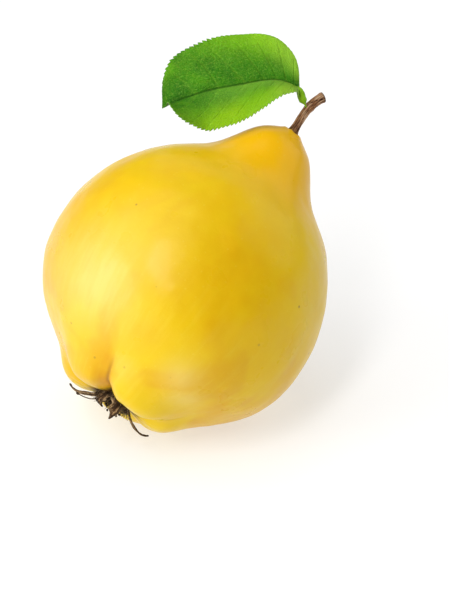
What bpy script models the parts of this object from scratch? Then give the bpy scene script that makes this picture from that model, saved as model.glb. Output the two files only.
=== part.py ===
"""A ripe quince lying on its side: the fruit, its woody stalk, one leaf and the dried flower at its eye.

Metres, +Z up. The origin is the middle of the small flat spot that the fruit rests on.
The fruit, stalk and dried flower are modelled round the fruit's core line, with +Z from the eye to
the stalk, and hang from the empty "core", which tips them over and lifts them onto the flat spot.
A direction from the heart of the fruit is given by two angles: one from an axis, and one round it.
"""

import math
import random

import bmesh
import bpy
from mathutils import Matrix, Vector, noise
from mathutils.geometry import interpolate_bezier

MM = 0.001
UP = Vector((0, 0, 1))
GAP = 0.3 * MM  # left between pieces that touch
TUFT_GAP = 0.6 * MM  # under the threads in the eye, whose feet are level and the skin is not

# How the fruit lies
HEART = Vector((-1.12, -3.27, 42.8)) * MM  # the middle of the round body, above the flat spot
TIPPED_RIGHT = 34.5  # degrees, of the stalk towards +X
TIPPED_BACK = 30.0  # degrees, of the stalk towards +Y

# The flesh: a ball with a neck, a belly, and a lobed rim round the eye. Angles in degrees
BODY_RADIUS = 42.6 * MM
NECK_HEIGHT = 13.2 * MM
NECK_SPREAD = 16.7
NECK_POWER = 2.4
BELLY_SWELL = 2.0 * MM
BELLY_AT = 115.0  # from the stalk
BELLY_SPREAD = 28.0
EYE_TILT = 11.0  # between the eye's axis and the core line
EYE_TOWARDS = 10.0  # azimuth of that tilt
EYE_DEPTH = 2.2 * MM
EYE_SPREAD = 9.0
RIM_AT = 21.0  # from the eye's axis
RIM_HEIGHT = 3.3 * MM
RIM_SPREAD = 9.5
FURROWS = {-17: 1.25, 62: 0.9, 134: 0.35, -154: 0.9, -82: 0.95}  # azimuth round the eye: relative depth
CREASE_DEPTH = 2.3 * MM
CREASE_AT = 17.0
CREASE_SPREAD = 11.0
CREASE_WIDTH = 12.0
VALLEY_DEPTH = 1.3 * MM
VALLEY_AT = 42.0
VALLEY_SPREAD = 28.0
VALLEY_WIDTH = 24.0
LUMP_HEIGHT = 0.9 * MM
LUMPS_PER_RADIUS = 1.5
FLESH_SEGMENTS = 64
FLESH_RINGS = 46

# The stalk
STALK_SIDEWAYS = [-0.2, -0.9, 1.7]  # its two handles and its end, across the core line, in mm
STALK_UP = [5.2, 9.6, 13.9]  # the same, above its foot, in mm
STALK_AWAY = [0.0, 0.8, 2.2]  # the same, away from azimuth 0, in mm
STALK_RADIUS = 1.22 * MM
STALK_END_FLARE = 0.28 * MM
STALK_POINTS = 12

# The leaf, from its joint on the stalk: its midrib in mm along the world's axes
LEAF_JOINT = 0.64  # of the stalk's length
LEAF_JOINT_FACES = Vector((-0.62, -0.72, 0.3)).normalized()
MIDRIB = [(0, 0, 0), (-1.2, 1.4, 2.4), (-2.6, 2.8, 5.0), (-7.5, 4.0, 6.9), (-12.8, 4.2, 6.8),
          (-19.2, 4.0, 5.6), (-26.7, 3.5, 4.4), (-32.6, 3.0, 2.9), (-40.0, 2.4, 0.3), (-43.6, 2.2, -1.5)]
BLADE_STARTS = 0.2  # of the midrib's run; the leaf stalk is before it
BLADE_FACES = Vector((0, -0.71, 0.71))
# Of its front half, which is towards -Y, and its back half
BLADE_HALF_WIDTH = (15.5 * MM, 16.4 * MM)
BLADE_WIDEST = (0.62, 0.60)  # of the blade's length
BLADE_POINTEDNESS = (0.30, 0.21)  # of its ends: 0.5 is an oval
BLADE_ENDS = (0.93, 1.0)  # of the blade's length; a narrow tip runs on past the front half
BLADE_FOLD = (24.0, 20.0)  # degrees up from flat
TIP_HALF_WIDTH = 1.5 * MM
TIP_LENGTH = 0.12  # of the blade's length
FRONT_HALF_LIFT = (40.0, 90.0)  # degrees that the front half folds up further, at the base and the tip
LIFT_POWER = 1.77
LIFT_FROM = 0.64  # of the blade's length, where it starts towards either end
FOLDS_WITHIN = 0.025  # of the blade's length, from its base
FLATTENS_WITHIN = 0.125
BLADE_DROOP = 0.12  # of the half width, at the margin
RIB_THICKNESS = 1.0 * MM
BLADE_THICKNESS = 0.5 * MM
MARGIN_THICKNESS = 0.3 * MM
LEAF_STALK_RADIUS = 1.2 * MM
LEAF_NECK_RADIUS = 0.4 * MM  # where it leaves the stalk
LEAF_ROUNDING = 0.04  # keeps the leaf stalk's sides from closing to an edge
LEAF_STALK_STATIONS = 9
BLADE_STATIONS = 24
BLADE_LAST = 0.995  # of its length, where its last station is
LEAF_ACROSS = 9

# The dried flower, with five sepals round the stamens, and the stamens round the styles
SEPAL_ROOT = 6.8  # degrees from the eye's axis
SEPAL_THICKNESS = 0.35 * MM
SEPAL_STATIONS = 10
# Of each sepal: its azimuth, its half width in mm, and three Bezier points after its root, each given
# by its degrees from the eye's axis and its mm off the skin
SEPALS = {
    "sepal_front": (22, 1.9, [(7.8, 2.4), (7.6, 5.4), (5.6, 6.8)]),
    "sepal_right": (96, 1.0, [(9.0, 2.0), (14.0, 4.4), (18.0, 2.0)]),
    "sepal_back": (164, 1.3, [(9.0, 1.2), (12.5, 1.6), (15.5, 1.1)]),
    "sepal_left": (-122, 1.3, [(10.0, 1.0), (15.5, 1.8), (20.5, 0.9)]),
    "sepal_curled": (-42, 1.5, [(7.8, 2.0), (7.2, 4.6), (3.4, 4.8)]),
}
SEPAL_TAPER = 0.85  # of its half width, lost by its tip
SEPAL_TAPER_POWER = 1.3
STAMENS = 15
STRAY_STAMEN = (11, 5.4, 7.6)  # which one is bent out over the rim, its height and its splay in mm
STAMEN_ROOT = 3.7  # degrees from the eye's axis
STAMEN_RADIUS = 0.2 * MM
STAMEN_HEIGHT = (2.2, 4.0)  # mm, shortest and longest
STAMEN_SPLAY = (0.5, 2.4)  # mm outwards, least and most
STYLES = 5
STYLE_ROOT = 1.3  # degrees from the eye's axis
STYLE_RADIUS = 0.28 * MM
STYLE_HEIGHT = (2.6, 3.6)
STYLE_SPLAY = (0.1, 0.5)
# Along a thread: how far each of its points is, and its radius there as a share of its radius
THREAD = {0: 1.0, 0.35: 0.85, 0.7: 0.75, 1: 0.9}


def clear_scene():
    """Removes what the startup scene holds."""
    for obj in list(bpy.data.objects):
        bpy.data.objects.remove(obj)


def material(name, colour, roughness):
    """A plain Principled material."""
    made = bpy.data.materials.new(name)
    made.use_nodes = True
    shader = made.node_tree.nodes["Principled BSDF"]
    shader.inputs["Base Color"].default_value = (*colour, 1)
    shader.inputs["Roughness"].default_value = roughness
    shader.inputs["Metallic"].default_value = 0
    return made


def add(name, data, look, parent, collection):
    """Links data as a named object with one material."""
    obj = bpy.data.objects.new(name, data)
    data.materials.append(look)
    obj.parent = parent
    collection.objects.link(obj)
    return obj


def mesh_from(name, bm):
    """Turns a bmesh into a smooth-shaded mesh whose faces point out."""
    bmesh.ops.recalc_face_normals(bm, faces=bm.faces)
    mesh = bpy.data.meshes.new(name)
    bm.to_mesh(mesh)
    bm.free()
    mesh.shade_smooth()
    return mesh


def core_matrix():
    """The core's place: tipped right, then back, then lifted to the heart's height."""
    back = Matrix.Rotation(math.radians(-TIPPED_BACK), 4, "X")
    right = Matrix.Rotation(math.radians(TIPPED_RIGHT), 4, "Y")
    return Matrix.Translation(HEART) @ back @ right


def around(azimuth):
    """The unit vector across the core line at an azimuth, which is 0 at -Y and 90 at +X."""
    turn = math.radians(azimuth)
    return Vector((math.sin(turn), -math.cos(turn), 0))


def eye_axes():
    """The eye's outward axis, then its azimuth 0 and azimuth 90 directions."""
    tilt = math.radians(EYE_TILT)
    out = around(EYE_TOWARDS) * math.sin(tilt) - UP * math.cos(tilt)
    right = (around(90) - out * out.dot(around(90))).normalized()
    front = right.cross(-out)
    return out, front, right


EYE_OUT, EYE_FRONT, EYE_RIGHT = eye_axes()


def hump(angle, centre, spread, power=2.0):
    """1 at the centre, falling smoothly to nothing past about twice the spread."""
    return math.exp(-(abs((angle - centre) / spread) ** power))


def turn_between(azimuth, other):
    """The angle from one azimuth to another, from -180 to 180."""
    return (azimuth - other + 180) % 360 - 180


def furrow_depth(from_eye, azimuth):
    """How far the creases round the eye, and the broad valleys beyond them, go in."""
    depth = 0
    for furrow, share in FURROWS.items():
        off = turn_between(azimuth, furrow)
        crease = hump(from_eye, CREASE_AT, CREASE_SPREAD) * hump(off, 0, CREASE_WIDTH)
        valley = hump(from_eye, VALLEY_AT, VALLEY_SPREAD) * hump(off, 0, VALLEY_WIDTH)
        depth += share * (CREASE_DEPTH * crease + VALLEY_DEPTH * valley)
    return depth


def flesh_radius(direction):
    """The skin's distance from the heart along a unit direction."""
    from_stalk = math.degrees(direction.angle(UP))
    from_eye = math.degrees(direction.angle(EYE_OUT))
    azimuth = math.degrees(math.atan2(direction.dot(EYE_RIGHT), direction.dot(EYE_FRONT)))
    radius = BODY_RADIUS
    radius += NECK_HEIGHT * hump(from_stalk, 0, NECK_SPREAD, NECK_POWER)
    radius += BELLY_SWELL * hump(from_stalk, BELLY_AT, BELLY_SPREAD)
    radius += RIM_HEIGHT * hump(from_eye, RIM_AT, RIM_SPREAD)
    radius -= EYE_DEPTH * hump(from_eye, 0, EYE_SPREAD)
    radius -= furrow_depth(from_eye, azimuth)
    radius += LUMP_HEIGHT * noise.noise(direction * LUMPS_PER_RADIUS)
    return radius


def off_skin(from_eye, azimuth, lift):
    """A point in the core's frame, lift above the skin, at an angle from the eye's axis and an azimuth."""
    turn = math.radians(azimuth)
    lean = math.radians(from_eye)
    across = EYE_FRONT * math.cos(turn) + EYE_RIGHT * math.sin(turn)
    direction = EYE_OUT * math.cos(lean) + across * math.sin(lean)
    return direction * (flesh_radius(direction) + lift)


def make_fruit(look, core, collection):
    """The whole fruit, one grown piece, cut flat where it rests."""
    bm = bmesh.new()
    bmesh.ops.create_uvsphere(bm, u_segments=FLESH_SEGMENTS, v_segments=FLESH_RINGS, radius=1)
    for vert in bm.verts:
        direction = vert.co.normalized()
        vert.co = direction * flesh_radius(direction)
    to_core = core_matrix().inverted()
    floor_normal = to_core.to_3x3() @ UP
    whole = bm.verts[:] + bm.edges[:] + bm.faces[:]
    cut = bmesh.ops.bisect_plane(
        bm, geom=whole, plane_co=to_core.translation, plane_no=floor_normal, clear_inner=True
    )
    rim = [item for item in cut["geom_cut"] if isinstance(item, bmesh.types.BMEdge)]
    bmesh.ops.edgeloop_fill(bm, edges=rim)
    return add("fruit", mesh_from("fruit", bm), look, core, collection)


def stalk_path():
    """Points up the stalk's centre, in the core's frame. Its foot stands just clear of the skin."""
    foot = UP * (flesh_radius(UP) + GAP)
    rest = [
        foot + Vector((across, away, up)) * MM
        for across, away, up in zip(STALK_SIDEWAYS, STALK_AWAY, STALK_UP)
    ]
    return interpolate_bezier(foot, *rest, STALK_POINTS)


def tube(name, points, radii, look, parent, collection):
    """A round bar along points, with a radius at each and both ends filled."""
    curve = bpy.data.curves.new(name, "CURVE")
    curve.dimensions = "3D"
    curve.bevel_depth = 1
    curve.bevel_resolution = 2
    curve.use_fill_caps = True
    spline = curve.splines.new("POLY")
    spline.points.add(len(points) - 1)
    for spot, point, radius in zip(spline.points, points, radii):
        spot.co = (*point, 1)
        spot.radius = radius
    return add(name, curve, look, parent, collection)


def make_stalk(look, core, collection):
    """The woody stalk, a little wider at its cut end."""
    shares = [i / (STALK_POINTS - 1) for i in range(STALK_POINTS)]
    radii = [STALK_RADIUS + STALK_END_FLARE * share**2 for share in shares]
    tube("stalk", stalk_path(), radii, look, core, collection)


def midrib(share):
    """A point on a Catmull-Rom curve through the midrib's points, and the direction it runs in."""
    points = [Vector(point) * MM for point in MIDRIB]
    ends = [points[0] * 2 - points[1], *points, points[-1] * 2 - points[-2]]
    place = share * (len(points) - 1)
    first = min(int(place), len(points) - 2)
    t = place - first
    a, b, c, d = ends[first : first + 4]
    square, cube = 2 * a - 5 * b + 4 * c - d, 3 * b - a - 3 * c + d
    point = (2 * b + (c - a) * t + square * t**2 + cube * t**3) / 2
    return point, (c - a + 2 * square * t + 3 * cube * t**2).normalized()


def blade_width(along, half):
    """The half width of a half of the blade at a share of its length."""
    reach = min(along / BLADE_ENDS[half], 1)
    outline = math.sin(math.pi * reach ** (math.log(0.5) / math.log(BLADE_WIDEST[half])))
    width = BLADE_HALF_WIDTH[half] * max(outline, 0) ** BLADE_POINTEDNESS[half]
    tip = TIP_HALF_WIDTH * min((1 - along) / TIP_LENGTH, 1)
    return max(width, tip if along > LIFT_FROM else 0)


def blade_fold(along, half):
    """How far a half of the blade is folded up from flat, in degrees."""
    if half:
        return BLADE_FOLD[half]
    end = 0 if along < LIFT_FROM else 1
    towards_end = (along - LIFT_FROM) / (end - LIFT_FROM)
    return BLADE_FOLD[half] + FRONT_HALF_LIFT[end] * towards_end**LIFT_POWER


def leaf_section(share):
    """A closed ring of points round the leaf: an oval in the leaf stalk, a folded sheet in the blade."""
    place, tangent = midrib(share)
    along = max(share - BLADE_STARTS, 0) / (1 - BLADE_STARTS)
    swell = math.sin(min(share / BLADE_STARTS, 1) * math.pi / 2)
    stalk_radius = LEAF_NECK_RADIUS + (LEAF_STALK_RADIUS - LEAF_NECK_RADIUS) * swell
    flat = min(along / FLATTENS_WITHIN, 1)
    run = Vector((-1, 0, 0)) if along > 0 else tangent
    side = run.cross(BLADE_FACES).normalized()
    face = side.cross(run).normalized()
    upper, lower = [], []
    for i in range(LEAF_ACROSS):
        across = 2 * i / (LEAF_ACROSS - 1) - 1
        out = abs(across)
        half = int(across > 0)
        half_width = max(blade_width(along, half), stalk_radius * (1 - along))
        fold = math.radians(blade_fold(along, half)) * min(along / FOLDS_WITHIN, 1)
        height = half_width * (math.sin(fold) * out - BLADE_DROOP * flat * out**3)
        middle = place + side * across * half_width * math.cos(fold) + face * height
        round_half = stalk_radius * math.sqrt(1 + LEAF_ROUNDING - across**2)
        sheet = BLADE_THICKNESS + (RIB_THICKNESS * (1 - along) - BLADE_THICKNESS) * (1 - out) ** 2
        half_thick = round_half * (1 - flat) + max(sheet, MARGIN_THICKNESS) / 2 * flat
        upper.append(middle + face * half_thick)
        lower.append(middle - face * half_thick)
    return upper + lower[::-1]


def make_leaf(look, core, collection):
    """The leaf stalk and blade, one grown piece, lofted along the midrib."""
    shares = [BLADE_STARTS * i / LEAF_STALK_STATIONS for i in range(LEAF_STALK_STATIONS)]
    for i in range(BLADE_STATIONS):
        along = BLADE_LAST * (1 - math.cos(math.pi * i / (BLADE_STATIONS - 1))) / 2
        shares.append(BLADE_STARTS + (1 - BLADE_STARTS) * along)
    bm = bmesh.new()
    rings = [[bm.verts.new(point) for point in leaf_section(share)] for share in shares]
    for ring, following in zip(rings, rings[1:]):
        for i in range(len(ring)):
            bm.faces.new((ring[i - 1], ring[i], following[i], following[i - 1]))
    bm.faces.new(rings[0])
    bm.faces.new(rings[-1][::-1])
    leaf = add("leaf", mesh_from("leaf", bm), look, None, collection)
    joint = stalk_path()[round(LEAF_JOINT * (STALK_POINTS - 1))]
    leaf.location = core_matrix() @ joint + LEAF_JOINT_FACES * (STALK_RADIUS + LEAF_NECK_RADIUS + GAP)


def make_sepal(name, azimuth, half_width, handles, look, core, collection):
    """A dried sepal: a tapering strip that leaves the eye's rim at an azimuth and curls."""
    start = (SEPAL_ROOT, (GAP + SEPAL_THICKNESS / 2) / MM)
    knots = [Vector((*knot, 0)) for knot in [start, *handles]]
    line = interpolate_bezier(*knots, SEPAL_STATIONS)
    turn = math.radians(azimuth)
    side = EYE_RIGHT * math.cos(turn) - EYE_FRONT * math.sin(turn)
    bm = bmesh.new()
    bmesh.ops.create_grid(bm, x_segments=SEPAL_STATIONS - 1, y_segments=2, size=1)
    for vert in bm.verts:
        station = round((vert.co.x + 1) / 2 * (SEPAL_STATIONS - 1))
        from_eye, lift, _ = line[station]
        taper = 1 - SEPAL_TAPER * (station / (SEPAL_STATIONS - 1)) ** SEPAL_TAPER_POWER
        place = off_skin(from_eye, azimuth, lift * MM)
        vert.co = place + side * vert.co.y * half_width * taper
    sepal = add(name, mesh_from(name, bm), look, core, collection)
    solidify = sepal.modifiers.new("thickness", "SOLIDIFY")
    solidify.thickness = SEPAL_THICKNESS
    solidify.offset = 0


def make_tuft(name, count, root, radius, heights, splays, look, core, collection):
    """A ring of dried threads standing in the eye, each of its own length and lean."""
    chance = random.Random(name)
    for k in range(count):
        azimuth = 360 * (k + 0.5) / count
        height, splay = chance.uniform(*heights) * MM, chance.uniform(*splays) * MM
        if (name, k) == ("stamen", STRAY_STAMEN[0]):
            height, splay = STRAY_STAMEN[1] * MM, STRAY_STAMEN[2] * MM
        turn = math.radians(azimuth)
        across = EYE_FRONT * math.cos(turn) + EYE_RIGHT * math.sin(turn)
        foot = off_skin(root, azimuth, TUFT_GAP)
        points = [
            foot + EYE_OUT * height * math.sin(share * math.pi / 2) + across * splay * share**2
            for share in THREAD
        ]
        radii = [radius * size for size in THREAD.values()]
        tube(f"{name}_{k + 1:02d}", points, radii, look, core, collection)


def main():
    clear_scene()
    quince = bpy.data.collections.new("quince")
    bpy.context.scene.collection.children.link(quince)
    core = bpy.data.objects.new("core", None)
    core.matrix_world = core_matrix()
    quince.objects.link(core)
    skin = material("skin", (0.86, 0.60, 0.05), 0.4)
    wood = material("wood", (0.20, 0.09, 0.04), 0.75)
    green = material("leaf", (0.09, 0.30, 0.02), 0.5)
    dried = material("dried", (0.09, 0.06, 0.04), 0.85)
    make_fruit(skin, core, quince)
    make_stalk(wood, core, quince)
    make_leaf(green, core, quince)
    for name, (azimuth, half_width, handles) in SEPALS.items():
        make_sepal(name, azimuth, half_width * MM, handles, dried, core, quince)
    make_tuft(
        "stamen", STAMENS, STAMEN_ROOT, STAMEN_RADIUS, STAMEN_HEIGHT, STAMEN_SPLAY, dried, core, quince
    )
    make_tuft("style", STYLES, STYLE_ROOT, STYLE_RADIUS, STYLE_HEIGHT, STYLE_SPLAY, dried, core, quince)


main()
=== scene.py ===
"""A ripe quince lying on its side: skin, stalk, leaf and dried flower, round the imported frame.

Metres, degrees, +Z up. The fruit is described round its core line, with +Z from the eye to the stalk,
and a direction from its heart by an angle from an axis and one round it. TURN tips the core.
"""

from collections import namedtuple
from math import atan2, cos, degrees, exp, log, pi, radians, sin, sqrt
from random import Random

import bmesh
import bpy
import numpy as np
from mathutils import Matrix, Vector
from mathutils.geometry import interpolate_bezier
from mathutils.noise import noise

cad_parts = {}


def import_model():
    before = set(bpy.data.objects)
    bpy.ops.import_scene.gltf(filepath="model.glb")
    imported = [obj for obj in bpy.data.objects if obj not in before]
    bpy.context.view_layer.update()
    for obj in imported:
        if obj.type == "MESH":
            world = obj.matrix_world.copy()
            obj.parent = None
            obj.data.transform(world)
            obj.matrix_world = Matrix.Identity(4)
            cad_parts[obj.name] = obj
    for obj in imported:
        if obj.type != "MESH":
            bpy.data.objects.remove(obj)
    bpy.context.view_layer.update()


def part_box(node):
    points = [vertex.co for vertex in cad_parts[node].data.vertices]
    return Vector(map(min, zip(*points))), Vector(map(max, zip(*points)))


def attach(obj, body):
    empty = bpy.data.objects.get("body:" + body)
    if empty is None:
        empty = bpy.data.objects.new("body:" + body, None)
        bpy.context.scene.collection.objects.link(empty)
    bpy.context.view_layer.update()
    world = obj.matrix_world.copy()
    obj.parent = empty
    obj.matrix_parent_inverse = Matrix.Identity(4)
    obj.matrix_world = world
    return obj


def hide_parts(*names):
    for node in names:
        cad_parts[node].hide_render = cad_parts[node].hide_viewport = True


MM = 0.001
UP = Vector((0, 0, 1))
GAP = 0.3 * MM
TUFT_GAP = 0.6 * MM

# How the fruit lies
TIPPED_RIGHT = 34.5
TIPPED_BACK = 30

# The flesh
BODY_RADIUS = 42.6 * MM
NECK_HEIGHT = 13.2 * MM
NECK_RUN = (0, 16.7, 2.4)  # as hump takes it: centre, spread and power
BELLY_SWELL = 2 * MM
BELLY_RUN = (115, 28)
EYE_TILT = 11
EYE_TOWARDS = 10
EYE_DEPTH = 2.2 * MM
EYE_RUN = (0, 9)
RIM_HEIGHT = 3.3 * MM
RIM_RUN = (21, 9.5)
FURROWS = {-17: 1.25, 62: 0.9, 134: 0.35, -154: 0.9, -82: 0.95}  # azimuth round the eye: depth
CREASE_DEPTH = 2.3 * MM
CREASE_RUN = (17, 11)
CREASE_WIDTH = 12
VALLEY_DEPTH = 1.3 * MM
VALLEY_RUN = (42, 28)
VALLEY_WIDTH = 24
LUMP_HEIGHT = 0.9 * MM
LUMPS_PER_RADIUS = 1.5

# What the skin adds: puckers round the eye, seams in the creases, a seat for the stalk, and dents
SKIN_RINGS = 236
SKIN_SEGMENTS = 264
RINGS_CROWD_ENDS = 0.55
PUCKER_DEPTH = 0.55 * MM
PUCKER_RUN = (10, 7)
PUCKERS = (3.4, 0.05)  # round the eye, and out from it
PUCKER_FINENESS = 2.3
PUCKER_SHARPNESS = 2.2
SEAM_DEPTH = 0.45 * MM
SEAM_WIDTH = 0.5
SEAM_WANDER = (2.5, 0.11)  # how far, and how often per degree
SEAM_RUN = (19, 13, 4)
SEAT_LIP = 0.55 * MM
SEAT_LIP_RUN = (2.7, 1)
SEAT_LIP_LUMPS = 40
SEAT_DIP = 0.35 * MM
SEAT_DIP_RUN = (0, 1.8, 4)
HOLLOW_DEPTH = 0.5 * MM
HOLLOW_RUN = (6.5, 3)
HOLLOW_TOWARDS = 20
HOLLOW_WIDTH = 60
DENTS = ((4.5, 0.28), (11, 0.09), (30, 0.025))  # how many per radius, and mm deep
DENT_SEED = Vector((7, 3, 5))

# Its painted shade by the creases, and its patches: angle from the eye, azimuth, spread and strength
CREASE_SHADE_AND_SEAMS = {-17: 1, 62: 0.25, -154: 0.4, -82: 0.1}
CREASE_SHADE_WIDTH = 2.6
CREASE_SHADE_OFF = 5
CREASE_SHADE_RUN = (23, 16, 3)
# Darker ochre patches: a riper tone, and painted shade where the front fell dark
BLUSH_AND_SHADE_PATCHES = (
    (93, 17, 25, 0.95), (54, -2, 9, 0.6), (40, 18, 9, 0.55), (28, -26, 7, 0.4), (100, 150, 30, 0.7),
)
# Painted highlights: pale patches where the lamps' highlights fall on the skin
PAINTED_HIGHLIGHT_PATCHES = (
    (64, -40, 22, 0.75), (31, -50, 9, 0.15), (33, -8, 7, 0.3), (47, 24, 8, 0.5), (40, 37, 7, 0.5),
    (70, -150, 22, 0.3),
)
STREAKS = (19, 0.05)

# The stalk
STALK_BENDS = ((-0.2, 0, 5.2), (-0.9, 0.8, 9.6), (1.7, 2.2, 13.9))  # mm from its foot
STALK_RADIUS = 1.22 * MM
STALK_END_FLARE = 0.28 * MM
STALK_END_LIP = 0.12 * MM
STALK_END_LIP_RUN = (0.97, 0.03)
STALK_FOOT_FLARE = 0.45 * MM
STALK_FOOT_LENGTH = 0.05
STALK_FOOT_SUNK = 0.35 * MM
STALK_JOINT_SWELL = 0.1 * MM
STALK_JOINT_SPREAD = 0.04
STALK_POINTS = 12
STALK_RINGS = 110
STALK_SEGMENTS = 96
BARK_RIDGES = (2.9, 2.2)  # how fine round the stalk, and along it
BARK_RIDGE = 0.1
BARK_GROOVE = 0.13
BARK_GROOVES = 1.35
BARK_SEED = Vector((9, 4, 0))
BARK_FINE = 0.075
BARK_FINENESS = Vector((3.6, 3.6, 2.6))
BARK_KNOT = 0.05
BARK_KNOTS = 13
BARK_GRAIN = (8, 5)
END_RIM_FROM = (0.965, 0.995)
CUT_END = (  # share of the radius, mm deep, and how dark
    (0.8, -0.02, 0.35), (0.62, 0.22, 0), (0.4, 0.34, 0), (0.18, 0.26, 0),
)
CUT_END_MIDDLE = 0.2 * MM
CUT_END_ROUGH = 0.12 * MM
CUT_END_FINENESS = 900
CUT_END_GRAIN = (9, 0.2)

# The leaf
LEAF_JOINT = 0.64
LEAF_JOINT_FACES = Vector((-0.62, -0.72, 0.3)).normalized()
MIDRIB = (  # mm from its base
    (0, 0, 0), (-1.2, 1.4, 2.4), (-2.6, 2.8, 5), (-7.5, 4, 6.9), (-12.8, 4.2, 6.8),
    (-19.2, 4, 5.6), (-26.7, 3.5, 4.4), (-32.6, 3, 2.9), (-40, 2.4, 0.3), (-43.6, 2.2, -1.5),
)
MIDRIB_POINTS = [Vector(point) * MM for point in MIDRIB]
MIDRIB_ENDS = 0.985
MIDRIB_RINGS = 150
MIDRIB_SIDES = 16
BLADE_STARTS = 0.2
BLADE_FACES = Vector((0, -0.71, 0.71))
BLADE_HALF_WIDTH = (15.5 * MM, 16.4 * MM)
BLADE_WIDEST = (0.62, 0.6)
BLADE_POINTEDNESS = (0.3, 0.21)
BLADE_ENDS = (0.93, 1)
BLADE_FOLD = (24, 20)
BLADE_LEAST = 0.02 * MM
TIP_HALF_WIDTH = 1.5 * MM
TIP_LENGTH = 0.12
FRONT_HALF_LIFT = (40, 90)
LIFT_POWER = 1.77
LIFT_FROM = 0.64
FOLDS_WITHIN = 0.025
FLATTENS_WITHIN = 0.125
BLADE_DROOP = 0.12
BLADE_THICKNESS = 0.36 * MM
LEAF_NECK_RADIUS = 0.4 * MM
MARGIN_STEPS = 377
MARGIN_SAMPLES = 900
BLADE_ROWS = 26
TEETH = 47
TOOTH_DEPTH = (0.55 * MM, 1.15 * MM)
TOOTH_PEAK = 0.78
TOOTH_LEAN = 0.35
TOOTH_ROWS = (1, 0.55, 0.2)
BACK_TEETH = (0.12, 0.9)  # their size near the leaf's base, and what is added towards its tip
VEIN_LAG = 0.2
VEINS = 8
VEIN_HALF_WIDTH = 0.0075
VEIN_HEIGHT = 0.22 * MM
QUILT_HEIGHT = 0.24 * MM
WAVE_HEIGHT = 0.35 * MM
NET_ALONG = 42  # cells of the net of small veins, along the leaf and out to its margin
NET_OUT = 15
NET_APART = 60
LEAF_SIDE = Vector((-1, 0, 0)).cross(BLADE_FACES).normalized()
LEAF_FACE = LEAF_SIDE.cross(Vector((-1, 0, 0))).normalized()

# The dried flower. Widths are in mm; handles bend a sepal's line: degrees from the eye, mm off the skin
Sepal = namedtuple("Sepal", "azimuth half_width bulge handles")
SEPALS = {
    "sepal_front": Sepal(22, 1.9, 1.2, [(7.8, 2.4), (7.6, 5.4), (5.6, 6.8)]),
    "sepal_right": Sepal(96, 1, 0, [(9, 2), (14, 4.4), (18, 2)]),
    "sepal_back": Sepal(164, 1.3, 0, [(9, 1.2), (12.5, 1.6), (15.5, 1.1)]),
    "sepal_left": Sepal(-122, 1.3, 0, [(10, 1), (15.5, 1.8), (20.5, 0.9)]),
    "sepal_curled": Sepal(-42, 1.5, 0.8, [(7.8, 2), (7.2, 4.6), (3.4, 4.8)]),
}
SEPAL_ROOT = 6.8
SEPAL_THICKNESS = 0.35 * MM
SEPAL_TWIST = 50
SEPAL_TAPER = (0.92, 1.7)
SEPAL_UNEVEN = 0.3
SEPAL_CUP = 1.5
ROOT_FLARE = 0.8
WRINKLES = ((0.3, (2.9, 3.2, 0)), (0.16, (6, 11, 3)))  # mm high; how fine, and a shift
SEPAL_STATIONS = 34
SEPAL_ACROSS = 13

# Its threads stand in rings. All is in mm, but root is degrees from the eye
Tuft = namedtuple("Tuft", "count root radius heights splays knob")
STAMENS = Tuft(15, 3.7, 0.2, (2.2, 4), (0.5, 2.4), (0.55, 0.34))
STYLES = Tuft(5, 1.3, 0.28, (2.6, 3.6), (0.1, 0.5), (0.36, 0.42))
STRAY = ("stamen", 11)
STRAY_REACH = (5.4, 7.6)  # its height and splay
THREAD_FOOT = 0.9 * MM
THREAD_RINGS = 22
THREAD_SIDES = 10
THREAD_WAVER = 0.22 * MM
KNOB_RINGS = 8
KNOB_SEGMENTS = 12
WOOL_HAIRS = 1100
WOOL_WITHIN = 7.6
WOOL_LENGTH = (1.2, 4)
WOOL_RADIUS = 0.09 * MM
WOOL_FOOT = -0.5 * MM
WOOL_CURL = 0.5 * MM
WOOL_RINGS = 7
WOOL_SIDES = 5

# The picture
CAMERA_DISTANCE = 1.2
CAMERA_LENS = 237.6
CAMERA_ELEVATION = 30
AIM_RIGHT = 11.2 * MM
AIM_DOWN = 4.8 * MM
FLOOR_SIZE = 12
FLOOR_DROP = 0.05 * MM
FLOOR_GLOW = 0.56
WORLD_GLOW = 0.14
LIGHTS_AIM = Vector((0, 0, 0.04))
WHITE = (1, 1, 1)
LIGHTS = {  # direction, distance, size, watts and colour
    "left_softbox": ((-0.9, -0.36, 0.22), 2.3, (1.1, 1.6), 33, (1, 0.99, 0.9)),
    "front_strip": ((-0.24, -0.62, 0.72), 2.4, (0.4, 1.4), 26, WHITE),
    "overhead_panel": ((-0.3, -0.05, 0.95), 2.2, (2.4, 2.2), 27, WHITE),
    "back_softbox": ((0.2, 0.8, 0.5), 2.4, (2, 1.6), 7, WHITE),
    "right_softbox": ((0.8, 0.3, 0.5), 2.4, (1.8, 1.8), 12, WHITE),
}

# Paints, as linear red, green and blue; a pair or a triple is mixed by noise
LEMON = (0.765, 0.525, 0.004)
GOLD = (0.755, 0.48, 0.002)
OCHRE = (0.7, 0.375, 0.001)
BLUSH_AND_SHADE = (0.66, 0.34, 0.001)
SHEEN = (0.79, 0.56, 0.008)
NECK = (0.84, 0.44, 0.001)
GLINT_STREAK = (0.84, 0.66, 0.06)
PAINTED_HIGHLIGHT = (0.8, 0.61, 0.17)
RIM_HIGHLIGHT = (0.8, 0.58, 0.02)
CREASE_SHADE_COLOUR = (0.68, 0.31, 0.001)
SEAM_SHADE = (0.32, 0.12, 0.012)
EYE_FLOOR_AND_SHADE = ((0.03, 0.015, 0.007), (0.17, 0.09, 0.032))
SEAT = (0.28, 0.13, 0.02)
PALE_DOT = (0.82, 0.66, 0.1)
SPECK = (0.28, 0.13, 0.03)
BARK = ((0.12, 0.036, 0.01), (0.44, 0.205, 0.08))
WEATHERED = (0.55, 0.37, 0.22)
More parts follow.
